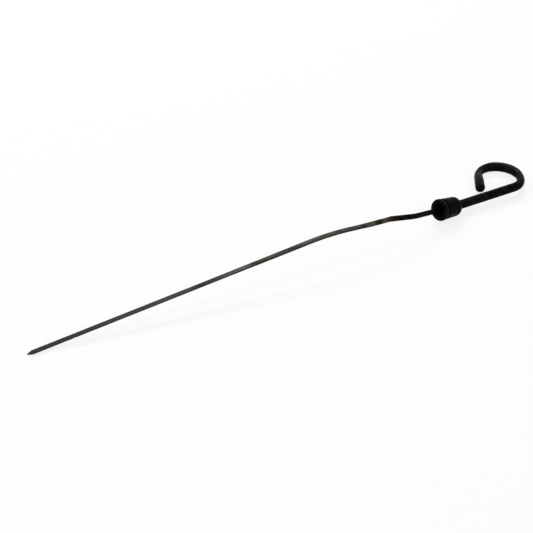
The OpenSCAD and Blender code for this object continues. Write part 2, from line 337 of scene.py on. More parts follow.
# painted light: lighter, warmer steel towards the tip
tip_light = ramp(tree, reach, TIP_LIGHT_FROM * MM, TIP_LIGHT_FULL * MM, high=TIP_LIGHT_SHARE)
steel = blend_colours(tree, tip_light, steel, TIP_LIT_STEEL)
varnished = ramp(tree, reach, VARNISH_FROM * MM, VARNISHED * MM)
steel = blend_colours(tree, varnished, steel, VARNISH)
# painted highlights: two tan patches where the twisted face turns to the light
for at in TAN_HIGHLIGHT_PLACES:
    steel = blend_colours(tree, patch(tree, reach, at * MM, TAN_HIGHLIGHT_HALF * MM), steel, TAN_HIGHLIGHT)
tree.links.new(steel, shader.inputs["Base Color"])
shader.inputs["Metallic"].default_value = 0.75
shader.inputs["Specular IOR Level"].default_value = 0.2
tree.links.new(ramp(tree, stain, 0, 1, 0.34, 0.52), shader.inputs["Roughness"])
give_relief(tree, shader, lines, 0.25, 0.1 * MM)
print(steel_finish.name, "has", len(tree.nodes), "nodes")

# %% [markdown]
# ## Finish: the coat on the strip's root
# The same enamel runs a few centimetres down the strip and ends in a thin, brown, uneven film.
# Towards that end the coat lets the steel's brown through. Towards the cap it is painted as black as
# the handle, which is painted shade next to the cap. The handle's own coat can't be used again,
# because it doesn't know how far from the tip it is.

# %% Make the root's coat
ROOT_BLACK, ROOT_BROWN = (0.0016, 0.0012, 0.0009, 1), (0.0084, 0.0062, 0.0040, 1)
# the first black here is painted shade next to the cap
CAP_SHADE_BLACK, THIN_FILM = (0.0006, 0.0005, 0.0004, 1), (0.017, 0.0135, 0.0080, 1)
# a painted highlight on the coat, at the first tan patch
COATED_TAN_HIGHLIGHT = (0.042, 0.034, 0.024, 1)
ROOT_SHEEN = 0.025
# places along the strip, in mm from the tip
THIN_FROM, THINNEST = 332, 312
# the painted shade next to the cap starts at the first place and is full at the second
CAP_SHADE_FROM, CAP_SHADE_FULL = 351, 358

root_finish, tree, shader = new_finish("root_coat")
space = carried(tree, "strip_space", "Vector")
reach = add_node(tree, "ShaderNodeSeparateXYZ", {"Vector": space}).outputs["X"]
smeared = strip_noise_space(tree, space, 220, 420)
clouds = spots(tree, smeared, 1.0, 0.38, 0.64)
thin = ramp(tree, reach, THIN_FROM * MM, THINNEST * MM)
enamel = blend_colours(tree, clouds, ROOT_BLACK, ROOT_BROWN)
# painted shade: the coat turns black towards the cap
cap_shade = ramp(tree, reach, CAP_SHADE_FROM * MM, CAP_SHADE_FULL * MM)
enamel = blend_colours(tree, cap_shade, enamel, CAP_SHADE_BLACK)
enamel = blend_colours(tree, calc(tree, "MULTIPLY", thin, clouds), enamel, THIN_FILM)
# painted highlight: a tan patch on the coat where the twisted face turns to the light
tan = patch(tree, reach, TAN_HIGHLIGHT_PLACES[0] * MM, TAN_HIGHLIGHT_HALF * MM)
enamel = blend_colours(tree, tan, enamel, COATED_TAN_HIGHLIGHT)
tree.links.new(enamel, shader.inputs["Base Color"])
tree.links.new(ramp(tree, clouds, 0, 1, 0.28, 0.44), shader.inputs["Roughness"])
shader.inputs["Specular IOR Level"].default_value = ROOT_SHEEN
give_relief(tree, shader, noise_of(tree, smeared, 2.0, 1.0), 0.3, 0.2 * MM)
print(root_finish.name, "has", len(tree.nodes), "nodes")

# %% [markdown]
# ## Finishes inside the cap
# The seal and the rivet can only be seen by looking into the socket. They keep their CAD shapes,
# and get a dull rubber with a bloom and a plain rivet steel. New meshes would be wasted on them.

# %% Make the seal's rubber and the rivet's steel
RUBBER, RUBBER_BLOOM = (0.016, 0.015, 0.015, 1), (0.036, 0.034, 0.032, 1)
RIVET_DARK, RIVET_LIGHT = (0.11, 0.10, 0.09, 1), (0.19, 0.18, 0.165, 1)

rubber_finish, tree, shader = new_finish("seal_rubber")
bloom = spots(tree, object_place(tree), 500, 0.42, 0.68)
rubber = blend_colours(tree, bloom, RUBBER, RUBBER_BLOOM)
tree.links.new(rubber, shader.inputs["Base Color"])
shader.inputs["Roughness"].default_value = 0.75

rivet_finish, tree, shader = new_finish("rivet_steel")
marks = spots(tree, object_place(tree), 1800, 0.40, 0.65)
rivet = blend_colours(tree, marks, RIVET_DARK, RIVET_LIGHT)
tree.links.new(rivet, shader.inputs["Base Color"])
shader.inputs["Metallic"].default_value = 1.0
tree.links.new(ramp(tree, marks, 0, 1, 0.3, 0.5), shader.inputs["Roughness"])

for node_name, finish in (("seal_washer", rubber_finish), ("strip_rivet", rivet_finish)):
    cad_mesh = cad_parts[node_name].data
    cad_mesh.materials.clear()
    cad_mesh.materials.append(finish)
    print(node_name, "keeps its CAD shape and gets", finish.name)

# %% [markdown]
# ## Walking along a bent wire
# Both the rod and the strip are made the way a bender makes them: feed some length, then bend
# round a former. A hand-drawn curve could follow the same path, but its bends would have no true
# radius. So a walker does what the bender does. It holds a turn and a place, and each feed or
# bend drops points. Every point remembers the walker's turn, because the strip needs to know
# which way its flat face looks.

# %% A walker that feeds and bends


class Walker:
    """Holds a place in mm, a turn whose X looks ahead, and the roll of the section about it."""

    def __init__(self, turn, place_mm, roll=0.0):
        self.turn, self.place = turn.copy(), Vector(place_mm)
        self.roll, self.length = roll, 0.0
        self.points = []
        self.drop()

    def drop(self):
        """Notes the place, the turn, the roll and the length walked so far."""
        self.points.append((self.place.copy(), self.turn.copy(), self.roll, self.length))

    def feed(self, length, steps):
        """Goes straight ahead, in mm."""
        for _ in range(steps):
            self.place += self.turn @ Vector((length / steps, 0, 0))
            self.length += length / steps
            self.drop()

    def bend(self, radius, angle, plane, steps):
        """Bends towards +Y turned about X by plane, all in degrees and mm."""
        side = Matrix.Rotation(math.radians(plane), 3, "X")
        start_turn, start_place = self.turn.copy(), self.place.copy()
        for i in range(1, steps + 1):
            a = math.radians(angle) * i / steps
            shift = Vector((radius * math.sin(a), radius * (1 - math.cos(a)), 0))
            self.place = start_place + start_turn @ side @ shift
            self.turn = start_turn @ side @ Matrix.Rotation(a, 3, "Z") @ side.transposed()
            self.length += radius * math.radians(angle) / steps
            self.drop()

    def bend_to(self, radius, new_turn, steps):
        """Bends to look along new_turn's X, then takes that turn over; the section stays put."""
        ahead = self.turn.transposed() @ new_turn @ Vector((1, 0, 0))
        angle, plane = math.acos(ahead.x), math.atan2(ahead.z, ahead.y)
        self.bend(radius, math.degrees(angle), math.degrees(plane), steps)
        rest = new_turn.transposed() @ self.turn
        self.roll += math.degrees(math.atan2(rest[2][1], rest[1][1]))
        self.turn = new_turn.copy()


LEVEL, UP, DOWN = 0, 90, -90
trial = Walker(hook_turn, (0, 0, 0))
trial.bend(10, 90, LEVEL, 8)
print("a quarter turn of radius 10 is", round(trial.length, 2), "mm long")

# %% [markdown]
# ## From points to a wire
# Geometry Nodes starts from a mesh, so the points become a chain of vertices. The chain carries
# the numbers that the trees need at each point, such as the radius there. A number is given at a
# few stations along the length only, and goes smoothly from one station to the next.

# %% Stations and wires


def station_value(stations, length):
    """The number at this length, going smoothly from station to station."""
    for (a, va), (b, vb) in zip(stations, stations[1:]):
        if length <= b:
            share = max(0.0, (length - a) / (b - a))
            return va + (vb - va) * (share * share * (3 - 2 * share))
    return stations[-1][1]


def wire_object(name, points, numbers, vectors):
    """A chain of vertices through the points, in metres, that carries named numbers and vectors."""
    mesh = bpy.data.meshes.new(name)
    mesh.from_pydata(points, [(i, i + 1) for i in range(len(points) - 1)], [])
    for key, values in numbers.items():
        mesh.attributes.new(key, "FLOAT", "POINT").data.foreach_set("value", values)
    for key, values in vectors.items():
        flat = [c for v in values for c in v]
        mesh.attributes.new(key, "FLOAT_VECTOR", "POINT").data.foreach_set("vector", flat)
    made = bpy.data.objects.new(name, mesh)
    bpy.context.scene.collection.objects.link(made)
    return made


print("halfway between stations of 1 and 2:", station_value([(0, 1), (10, 2)], 5))

# %% [markdown]
# ## The handle: one thick wire
# The wire starts inside the cap, at the turned nose that holds the strip. It leaves the cap along
# the cap's axis, bends into the hook's plane, and runs straight along the shank. Three bends then
# close the finger hook, and a straight tail ends it.

# %% Walk the rod
ROD_START, NOSE_END, CAP_LENGTH = 5.0, 9.5, 22.5  # from the seating face
NOSE_EDGE = 0.25  # the nose's broken edge
HALF_STEP = 0.01  # the step from the nose to the full rod is two of these long
NECK_RADIUS, SHANK, TAIL = 14, 55, 17.6
HOOK_BENDS = [(13.5, 52, 28), (20.8, 102.6, 60), (15.9, 87.8, 44)]  # radius, degrees, points

rod = Walker(cap_turn, from_cap((ROD_START, 0, 0)) / MM)
rod.feed(NOSE_EDGE, 1)
rod.feed(NOSE_END - ROD_START - NOSE_EDGE - HALF_STEP, 2)
rod.feed(2 * HALF_STEP, 1)
rod.feed(CAP_LENGTH - NOSE_END - HALF_STEP, 4)
rod.bend_to(NECK_RADIUS, hook_turn, 12)
shank_from = rod.length
rod.feed(SHANK, 40)
for bend_radius, angle, steps in HOOK_BENDS:
    rod.bend(bend_radius, angle, LEVEL, steps)
rod.feed(TAIL, 16)
print("rod:", round(rod.length, 1), "mm to the start of its rounded end")

# %% [markdown]
# ## The handle's uneven thickness
# Bending draws a rod thinner in its tight bends, and a dipped coat runs and collects where the hook
# hangs while it drips, which thickens the bow and the tail and rounds the tail's end. So the radius
# is a list of stations along the length. The strength of the painted highlight on the tail and of the
# painted reflection on the bend is a second such list. A pipe of one radius would be simpler, but it
# looks like a drawing and not like a wire.

# %% Give the rod its radius
ROD_RADIUS, NOSE_RADIUS, NOSE_EDGE_RADIUS = 4.0, 3.8, 3.6
# radius in mm at distances from the start of the straight shank
HOOK_STATIONS = [
    (54, 4.0), (60, 3.87), (66, 3.58), (70, 3.5), (75, 3.62), (82, 4.08), (91, 4.25), (107, 4.25),
    (111.5, 4.0), (117, 3.75), (121, 3.54), (126, 3.62), (132, 4.08), (139, 4.28), (146.5, 4.3),
]
# how strong the painted highlight on the tail and the painted reflection on the bend are there, from
# 0 to 1
PAINTED_HIGHLIGHT_STATIONS = [
    (56, 0.0), (64, 0.45), (72, 0.4), (80, 0.1), (86, 0.25), (94, 0.05), (116, 0.1), (126, 1.0),
    (135, 1.0), (141, 0.1),
]
END_RADIUS, END_DOME, END_STEPS = 4.3, 4.25, 12
LEAST_RADIUS = 0.01  # a ring of no size would leave doubled points

nose_length = NOSE_END - ROD_START
rod_stations = [
    (0, NOSE_EDGE_RADIUS), (NOSE_EDGE, NOSE_RADIUS),
    (nose_length - HALF_STEP, NOSE_RADIUS), (nose_length + HALF_STEP, ROD_RADIUS),
] + [(shank_from + s, r) for s, r in HOOK_STATIONS]

rod_points = [(p, station_value(rod_stations, s), station_value(PAINTED_HIGHLIGHT_STATIONS, s - shank_from))
              for p, _, _, s in rod.points]
tail_way = rod.turn @ Vector((1, 0, 0))
for i in range(1, END_STEPS + 1):
    a = math.pi / 2 * i / END_STEPS
    at = rod.place + tail_way * END_DOME * math.sin(a)
    rod_points.append((at, END_RADIUS * math.cos(a) + LEAST_RADIUS, PAINTED_HIGHLIGHT_STATIONS[-1][1]))

# the chain carries the rod's radius and the strength of the painted highlight
handle_wire = wire_object(
    "handle_wire", [p * MM for p, _, _ in rod_points],
    {"rod_radius": [r * MM for _, r, _ in rod_points], "painted_highlight": [h for _, _, h in rod_points]}, {})
print("rod:", len(rod_points), "points,", round(rod.length + END_DOME, 1), "mm long")

# %% [markdown]
# ## Geometry Nodes: sweep the rod and cut its slit
# The rod is a round section that follows the wire, and its front end has a slit that holds the
# strip. The tree turns the chain of points into a curve, sweeps a circle along it with the stored
# radius, closes both ends, and takes the slit out with a thin box. Its sizes are named inputs, so
# the same tree would make another handle. First come the helpers that every such tree needs.

# %% Helpers that build a Geometry Nodes tree


def new_geometry_tree(name, inputs):
    """A tree with a Geometry input, the named inputs, and one Geometry output."""
    tree = bpy.data.node_groups.new(name, "GeometryNodeTree")
    tree.interface.new_socket("Geometry", in_out="INPUT", socket_type="NodeSocketGeometry")
    for label, kind in inputs:
        tree.interface.new_socket(label, in_out="INPUT", socket_type="NodeSocket" + kind)
    tree.interface.new_socket("Geometry", in_out="OUTPUT", socket_type="NodeSocketGeometry")
    return tree, tree.nodes.new("NodeGroupInput").outputs, tree.nodes.new("NodeGroupOutput").inputs


def stored(tree, name, kind):
    """What the points carry under this name."""
    node = add_node(tree, "GeometryNodeInputNamedAttribute", {"Name": name}, data_type=kind)
    return node.outputs["Attribute"]


def store_vector(tree, geometry, name, vector):
    """Writes a vector onto every point under this name."""
    node = add_node(tree, "GeometryNodeStoreNamedAttribute", {
        "Geometry": geometry, "Name": name, "Value": vector},
        data_type="FLOAT_VECTOR", domain="POINT")
    return node.outputs["Geometry"]


def cut_away(tree, body, cutter):
    """The body with the cutter's shape taken out of it."""
    node = add_node(tree, "GeometryNodeMeshBoolean", {"Mesh 1": body},
                    operation="DIFFERENCE", solver="EXACT")
    tree.links.new(cutter, node.inputs["Mesh 2"])
    return node.outputs["Mesh"]


def end_tree(tree, geometry, finish, result):
    """Every tree ends alike: the geometry is made real and gets its finish."""
    real = add_node(tree, "GeometryNodeRealizeInstances", {"Geometry": geometry})
    dressed = add_node(tree, "GeometryNodeSetMaterial", {
        "Geometry": real.outputs["Geometry"], "Material": finish})
    tree.links.new(dressed.outputs["Geometry"], result["Geometry"])
    print(tree.name, "has", len(tree.nodes), "nodes")


# %% [markdown]
# ## Running a tree
# A tree only changes a mesh while its modifier is on. The lesson wants plain meshes, because they are
# what is rendered. So the tree is run once, its result is copied, and the wire is thrown away.
# Doubled points are merged and the shading is made smooth, except at sharp edges.

# %% Helpers that run a tree and clean its mesh
MERGE_WITHIN = 2e-6  # metres
SHARP_ANGLE, CAP_SHARP_ANGLE = 40, 50


def shape_with(tree, source, values, name):
    """Runs the tree on the source object with these values, and returns a plain mesh object."""
    modifier = source.modifiers.new("shape", "NODES")
    modifier.node_group = tree
    for item in tree.interface.items_tree:
        if item.in_out == "INPUT" and item.name in values:
            modifier[item.identifier] = values[item.name]
    bpy.context.view_layer.update()
    evaluated = source.evaluated_get(bpy.context.evaluated_depsgraph_get())
    mesh = bpy.data.meshes.new_from_object(evaluated)
    mesh.name = name
    source.modifiers.remove(modifier)
    made = bpy.data.objects.new(name, mesh)
    bpy.context.scene.collection.objects.link(made)
    bpy.data.objects.remove(source)
    return made


def tidy_mesh(piece, sharp_degrees):
    """Merges doubles, points the faces outwards, and shades smooth with sharp edges kept."""
    work = bmesh.new()
    work.from_mesh(piece.data)
    bmesh.ops.remove_doubles(work, verts=work.verts, dist=MERGE_WITHIN)
    bmesh.ops.recalc_face_normals(work, faces=work.faces)
    work.to_mesh(piece.data)
    work.free()
    piece.data.shade_smooth()
    piece.data.set_sharp_from_angle(angle=math.radians(sharp_degrees))
    size = [round(v / MM, 1) for v in piece.dimensions]
    print(piece.name, len(piece.data.polygons), "faces, size mm", size)


print("points closer than", MERGE_WITHIN / MM, "mm will be merged")

# %% [markdown]
# ## The rod's tree
# The slit could be left out, since the cap hides it, but then the strip would run through solid
# steel. A thin box takes it out. The box is much wider than the rod, so that it cuts right across.

# %% Build the rod's tree
CUTTER_WIDTH = 20

rod_tree, given, result = new_geometry_tree("Swept rod", [
    ("Section segments", "Int"), ("Slit width", "Float"), ("Slit depth", "Float"),
    ("Slit place", "Vector"), ("Slit turn", "Rotation"), ("Finish", "Material")])
wire = add_node(rod_tree, "GeometryNodeMeshToCurve", {"Mesh": given["Geometry"]})
circle = add_node(rod_tree, "GeometryNodeCurvePrimitiveCircle", {
    "Resolution": given["Section segments"], "Radius": 1.0})
swept = add_node(rod_tree, "GeometryNodeCurveToMesh", {
    "Curve": wire.outputs[0], "Profile Curve": circle.outputs["Curve"],
    "Scale": stored(rod_tree, "rod_radius", "FLOAT"), "Fill Caps": True})
slit_size = add_node(rod_tree, "ShaderNodeCombineXYZ", {
    "X": given["Slit depth"], "Y": CUTTER_WIDTH * MM, "Z": given["Slit width"]})
box = add_node(rod_tree, "GeometryNodeMeshCube", {"Size": slit_size.outputs[0]})
cutter = add_node(rod_tree, "GeometryNodeTransform", {
    "Geometry": box.outputs["Mesh"], "Translation": given["Slit place"],
    "Rotation": given["Slit turn"]})
slit = cut_away(rod_tree, swept.outputs["Mesh"], cutter.outputs["Geometry"])
end_tree(rod_tree, slit, given["Finish"], result)

# %% [markdown]
# ## Sweep the handle
# The slit is a hair deeper than the strip's tang is long, and a hair wider than the strip is
# thick. It stands on edge, turned with the strip about the cap's axis.

# %% Run the rod's tree
TANG_LENGTH, STRIP_THICKNESS, TANG_ROLL = 8.45, 1.25, -79.27
FIT_GAP = 0.02
SLIT_OVERRUN = 2  # how far the cutter stands out in front of the nose

strip_turn = cap_turn @ Matrix.Rotation(math.pi, 3, "Z")
slit_turn = strip_turn @ Matrix.Rotation(math.radians(TANG_ROLL), 3, "X")
slit_middle = from_cap((ROD_START + (TANG_LENGTH + FIT_GAP - SLIT_OVERRUN) / 2, 0, 0))

handle = shape_with(rod_tree, handle_wire, {
    "Section segments": 56, "Slit width": (STRIP_THICKNESS + 2 * FIT_GAP) * MM,
    "Slit depth": (TANG_LENGTH + FIT_GAP + SLIT_OVERRUN) * MM, "Slit place": slit_middle,
    "Slit turn": slit_turn.to_euler(), "Finish": coat_finish}, "handle")
tidy_mesh(handle, SHARP_ANGLE)

# %% [markdown]
# ## The stop cap: a lathe job
# The cap is turned, so its shape is one outline spun round the axis. The outline is the CAD one
# with every corner eased, because a real edge is never perfectly sharp and it is the eased edge
# that catches the light. A corner is given by its place and its radius.

# %% Draw the cap's outline
EDGE_FADE = 0.45
# distance from the seat, distance from the axis, corner radius, and 1 for an outer edge
CAP_CORNERS = [
    (22.5, 4.02, 0.10, 0), (22.5, 8.44, 3.5, 1), (5.0, 9.2, 0.30, 1), (5.0, 8.3, 0.25, 0),
    (2.0, 8.3, 0.25, 0), (2.0, 9.6, 0.30, 1), (0.6, 9.6, 0.25, 1), (0.0, 9.0, 0.20, 1),
    (0.0, 6.8, 0.15, 1), (0.6, 6.2, 0.15, 0), (12.0, 6.2, 0.15, 0), (12.0, 4.02, 0.05, 0),
]


def eased_outline(corners, steps=6):
    """Points round the closed outline, with an arc at each corner, and their edge numbers."""
    made = []
    for i, (x, r, ease, outer) in enumerate(corners):
        here = Vector((x, r))
        to_last = (Vector(corners[i - 1][:2]) - here).normalized()
        to_next = (Vector(corners[(i + 1) % len(corners)][:2]) - here).normalized()
        half = to_last.angle(to_next) / 2
        reach = ease / math.tan(half)
        start, end = here + to_last * reach, here + to_next * reach
        middle = here + (to_last + to_next).normalized() * (ease / math.sin(half))
        first_spoke = start - middle
        turn = first_spoke.angle_signed(end - middle)
        for k in range(steps + 1):
            spoke = first_spoke.copy()
            spoke.rotate(Matrix.Rotation(-turn * k / steps, 2))
            made.append((middle + spoke, float(outer)))
    return made


def long_edges_cut(points, fade):
    """Adds points on long straight stretches, so that the edge number fades near its corner."""
    made = []
    for (a, ea), (b, _) in zip(points, points[1:] + points[:1]):
        made.append((a, ea))
        gap = (b - a).length
        if gap > 2 * fade:
            for t in (fade / gap, 1 - fade / gap):
                made.append((a.lerp(b, t), 0.0))
    return made


cap_outline = long_edges_cut(eased_outline(CAP_CORNERS), EDGE_FADE)
print("cap outline:", len(CAP_CORNERS), "corners,", len(cap_outline), "points")

# %% [markdown]
# ## Spinning the outline
# A turned rim has no corners, so the steps have to be fine enough for it to look round. The
# outline is drawn along X, spun about X, and only then turned and moved to where the cap sits.

# %% Spin the outline round the cap's axis
LATHE_STEPS = 112
work = bmesh.new()
edge_layer = work.verts.layers.float.new("edge")
ring = []
for point, edge_wear_and_highlight in cap_outline:
    vert = work.verts.new((point.x, point.y, 0))
    vert[edge_layer] = edge_wear_and_highlight
    ring.append(vert)
loop = [work.edges.new((a, b)) for a, b in zip(ring, ring[1:] + ring[:1])]
bmesh.ops.spin(work, geom=ring + loop, cent=(0, 0, 0), axis=(1, 0, 0), angle=2 * math.pi,
               steps=LATHE_STEPS, use_merge=True, use_normal_flip=False, use_duplicate=False)
place_cap = Matrix.Scale(MM, 4) @ cap_turn.to_4x4() @ Matrix.Translation((-SEAT_TO_ORIGIN, 0, 0))
bmesh.ops.transform(work, matrix=place_cap, verts=work.verts)
cap_mesh = bpy.data.meshes.new("stop_cap_turned")
work.to_mesh(cap_mesh)
work.free()
cap_mesh.materials.append(cap_finish)
cap = bpy.data.objects.new("stop_cap_turned", cap_mesh)
bpy.context.scene.collection.objects.link(cap)
tidy_mesh(cap, CAP_SHARP_ANGLE)

# %% [markdown]
# ## The strip: walk it, roll it, sweep it
# The strip starts in the rod's slit, on edge. It leaves the cap along the cap's axis, is bent back
# in line with the shank, which is easy for a strip on edge, then bends down, untwists to lie
# flat, and runs in one long slight bend to the tip. The walker drops the points, and each point
# gets the strip's roll there. The last points narrow to the tip.

# %% Walk the strip
STRIP_WIDTH, EDGE_RADIUS, POINT_LENGTH = 4.3, 0.3, 4.0
ROOT_PITCH = 13
# lengths and radii in mm and angles in degrees, in the order of the walk
OUT_OF_CAP, BACK_RADIUS, BACK_IN_LINE = 32.1, 30, 18.2
DROP_RADIUS, DROP_ANGLE = 16, 9.9
UNTWISTING, LIFT_RADIUS, LIFT_ANGLE, STRAIGHT = 16.6, 16, 2.5, 19.1
LONG_RADIUS, LONG_ANGLE, TO_THE_TIP = 200, 10.5, 237.5

root_turn = (hook_turn @ Matrix.Rotation(math.radians(ROOT_PITCH), 3, "Y")
             @ Matrix.Rotation(math.pi, 3, "Z"))
strip = Walker(strip_turn, from_cap((ROD_START + TANG_LENGTH, 0, 0)) / MM, TANG_ROLL)
strip.feed(TANG_LENGTH, 4)
root_from = strip.length
strip.feed(OUT_OF_CAP, 24)
strip.bend_to(BACK_RADIUS, root_turn, 12)
strip.feed(BACK_IN_LINE, 16)
strip.bend(DROP_RADIUS, DROP_ANGLE, DOWN, 8)
root_to = strip.length
strip.feed(UNTWISTING, 60)
strip.bend(LIFT_RADIUS, LIFT_ANGLE, UP, 4)
strip.feed(STRAIGHT, 50)
strip.bend(LONG_RADIUS, LONG_ANGLE, DOWN, 40)
strip.feed(TO_THE_TIP - POINT_LENGTH, 60)
strip.feed(POINT_LENGTH, 4)
strip_length = strip.length
print("strip:", len(strip.points), "points,", round(strip_length, 1), "mm long")

# %% [markdown]
# ## Roll and taper
# A strip that is twisted by hand rolls most of the way at once, and the rest slowly, because
# spring steel keeps a little of the roll for a long way. So the roll has stations too. The point
# is a share of the width that falls over the last few millimetres.

# %% Give each point its roll and its shares
TIP_SHARE = 0.02
# length walked, and the degrees rolled by then
UNTWIST = [(root_to, 0), (root_to + 28, 61), (root_to + 80, 62), (root_to + 160, 75)]


def strip_rows(walked, growth):
    """Points, in metres, and for each its roll vector, its distance from the tip and its shares."""
    rows = {"points": [], "across": [], "reach": [], "taper": [], "swell": []}
    for at, turn, roll, length in walked:
        a = math.radians(roll + station_value(UNTWIST, length))
        rows["points"].append(at * MM)
        rows["across"].append(turn @ Vector((0, math.cos(a), math.sin(a))))
        rows["reach"].append((strip_length - length) * MM)
        rows["taper"].append(min(1.0, max(TIP_SHARE, (strip_length - length) / POINT_LENGTH)))
        rows["swell"].append(growth(length))
    return rows


print("the strip rolls by", UNTWIST[-1][1], "degrees over", UNTWIST[-1][0] - root_to, "mm")

# %% [markdown]
# ## Geometry Nodes: sweep the strip
# The strip is a flat bar with rounded edges, so the profile is a quadrilateral with its corners
# filleted. A curve's own normal would twist as it likes. Here it is set free and read from the
# stored vector, so the flat face follows the twist exactly. The width is then multiplied by the
# stored taper, which makes the point.

# %% Build the strip's tree, as far as the bare strip
strip_tree, given, result = new_geometry_tree("Swept strip", [
    ("Width", "Float"), ("Thickness", "Float"), ("Edge radius", "Float"), ("Edge segments", "Int"),
    ("Tip", "Vector"), ("To the handle", "Vector"), ("Across", "Vector"), ("Face", "Vector"),
    ("Low mark", "Float"), ("Mark gap", "Float"), ("Nick radius", "Float"), ("Finish", "Material")])


def vector_math(tree, operation, first, second, out="Vector"):
    """The result of a Vector Math node."""
    node = add_node(tree, "ShaderNodeVectorMath", {0: first, 1: second}, operation=operation)
    return node.outputs[out]


def scaled(tree, vector, number):
    """The vector times the number."""
    node = add_node(tree, "ShaderNodeVectorMath", {0: vector, "Scale": number}, operation="SCALE")
    return node.outputs["Vector"]


wire = add_node(strip_tree, "GeometryNodeMeshToCurve", {"Mesh": given["Geometry"]})
across = stored(strip_tree, "across", "FLOAT_VECTOR")
aimed = add_node(strip_tree, "GeometryNodeSetCurveNormal", {
    "Curve": wire.outputs[0], "Normal": across}, mode="FREE")
flat = add_node(strip_tree, "GeometryNodeCurvePrimitiveQuadrilateral", {
    "Width": given["Width"], "Height": given["Thickness"]})
rolled = add_node(strip_tree, "GeometryNodeFilletCurve", {
    "Curve": flat.outputs["Curve"], "Count": given["Edge segments"],
    "Radius": given["Edge radius"]}, mode="POLY")
# the place in the section is kept, for the rolled lines of the finish
here = add_node(strip_tree, "GeometryNodeInputPosition").outputs[0]
profile = store_vector(strip_tree, rolled.outputs["Curve"], "section_place", here)
swept = add_node(strip_tree, "GeometryNodeCurveToMesh", {
    "Curve": aimed.outputs["Curve"], "Profile Curve": profile,
    "Scale": stored(strip_tree, "swell", "FLOAT"), "Fill Caps": True})
# the taper: each point moves in across the strip by its share
from_middle = vector_math(strip_tree, "SUBTRACT", here, stored(strip_tree, "middle", "FLOAT_VECTOR"))
offset = vector_math(strip_tree, "DOT_PRODUCT", from_middle, across, "Value")
less = calc(strip_tree, "SUBTRACT", stored(strip_tree, "taper", "FLOAT"), 1.0)
inwards = scaled(strip_tree, across, calc(strip_tree, "MULTIPLY", offset, less))
pointed = add_node(strip_tree, "GeometryNodeSetPosition", {
    "Geometry": swept.outputs["Mesh"], "Offset": inwards})
# strip_space: distance from the tip, place across, place through the thickness
section = stored(strip_tree, "section_place", "FLOAT_VECTOR")
section = add_node(strip_tree, "ShaderNodeSeparateXYZ", {0: section})
space = add_node(strip_tree, "ShaderNodeCombineXYZ", {
    "X": stored(strip_tree, "reach", "FLOAT"), "Y": section.outputs["X"],
    "Z": section.outputs["Y"]})
bare = store_vector(strip_tree, pointed.outputs["Geometry"], "strip_space", space.outputs[0])
print(strip_tree.name, "has", len(strip_tree.nodes), "nodes so far")

# %% [markdown]
# ## Geometry Nodes: nick the level marks
# The low and the full level are marked by a small round nick in each edge. Four points are placed,
# two levels on two edges, a round cutter is instanced on each, and all four are taken away in one
# cut. The cut makes new points that know nothing of the strip's coordinates, so these are read
# back off the surface as it was before the cut.

# %% Finish the strip's tree with the nicks
NICK_SIDES, CUTTER_HEIGHT = 24, 4

levels = add_node(strip_tree, "GeometryNodeMeshLine", {"Count": 4})
index = add_node(strip_tree, "GeometryNodeInputIndex").outputs[0]
upper = calc(strip_tree, "MODULO", index, 2.0)
side = calc(strip_tree, "SUBTRACT", calc(strip_tree, "GREATER_THAN", index, 1.5), 0.5)
up_strip = calc(strip_tree, "MULTIPLY_ADD", upper, given["Mark gap"], given["Low mark"])
out_strip = calc(strip_tree, "MULTIPLY", side, given["Width"])
along = scaled(strip_tree, given["To the handle"], up_strip)
aside = scaled(strip_tree, given["Across"], out_strip)
nick_at = vector_math(strip_tree, "ADD", given["Tip"], along)
nick_at = vector_math(strip_tree, "ADD", nick_at, aside)
marks = add_node(strip_tree, "GeometryNodeSetPosition", {
    "Geometry": levels.outputs["Mesh"], "Position": nick_at})
cutter = add_node(strip_tree, "GeometryNodeMeshCylinder", {
    "Vertices": NICK_SIDES, "Radius": given["Nick radius"], "Depth": CUTTER_HEIGHT * MM})
aim = add_node(strip_tree, "FunctionNodeAlignRotationToVector", {"Vector": given["Face"]}, axis="Z")
cutters = add_node(strip_tree, "GeometryNodeInstanceOnPoints", {
    "Points": marks.outputs["Geometry"], "Instance": cutter.outputs["Mesh"],
    "Rotation": aim.outputs["Rotation"]})
cutters = add_node(strip_tree, "GeometryNodeRealizeInstances", {
    "Geometry": cutters.outputs["Instances"]})
nicked = cut_away(strip_tree, bare, cutters.outputs["Geometry"])
before_cut = add_node(strip_tree, "GeometryNodeSampleNearestSurface", {
    "Mesh": bare, "Value": stored(strip_tree, "strip_space", "FLOAT_VECTOR")},
    data_type="FLOAT_VECTOR")
marked = store_vector(strip_tree, nicked, "strip_space", before_cut.outputs["Value"])
end_tree(strip_tree, marked, given["Finish"], result)

# %% [markdown]
# ## Sweep the bare strip
# The same tree makes the strip and, later, the coat on its root, so its values are kept in one
# dictionary. The marks are counted from the tip, along the last straight stretch.

# %% Run the strip's tree
LOW_MARK, MARK_GAP, NICK_RADIUS = 16, 22, 0.5

tip_place, tip_turn, _, _ = strip.points[-1]
strip_values = {
    "Width": STRIP_WIDTH * MM, "Thickness": STRIP_THICKNESS * MM, "Edge radius": EDGE_RADIUS * MM,
    "Edge segments": 3, "Tip": tip_place * MM, "To the handle": tip_turn @ Vector((-1, 0, 0)),
    "Across": tip_turn @ Vector((0, 1, 0)), "Face": tip_turn @ Vector((0, 0, 1)),
    "Low mark": LOW_MARK * MM, "Mark gap": MARK_GAP * MM, "Nick radius": NICK_RADIUS * MM,
    "Finish": steel_finish}


def swept_strip(name, walked, growth, values):
    """A piece swept over the walked points, as large there as growth says for their length."""
    rows = strip_rows(walked, growth)
    wire = wire_object(name + "_wire", rows["points"],
                       {"reach": rows["reach"], "taper": rows["taper"], "swell": rows["swell"]},
                       {"across": rows["across"], "middle": rows["points"]})
    made = shape_with(strip_tree, wire, values, name)
    tidy_mesh(made, SHARP_ANGLE)
    return made


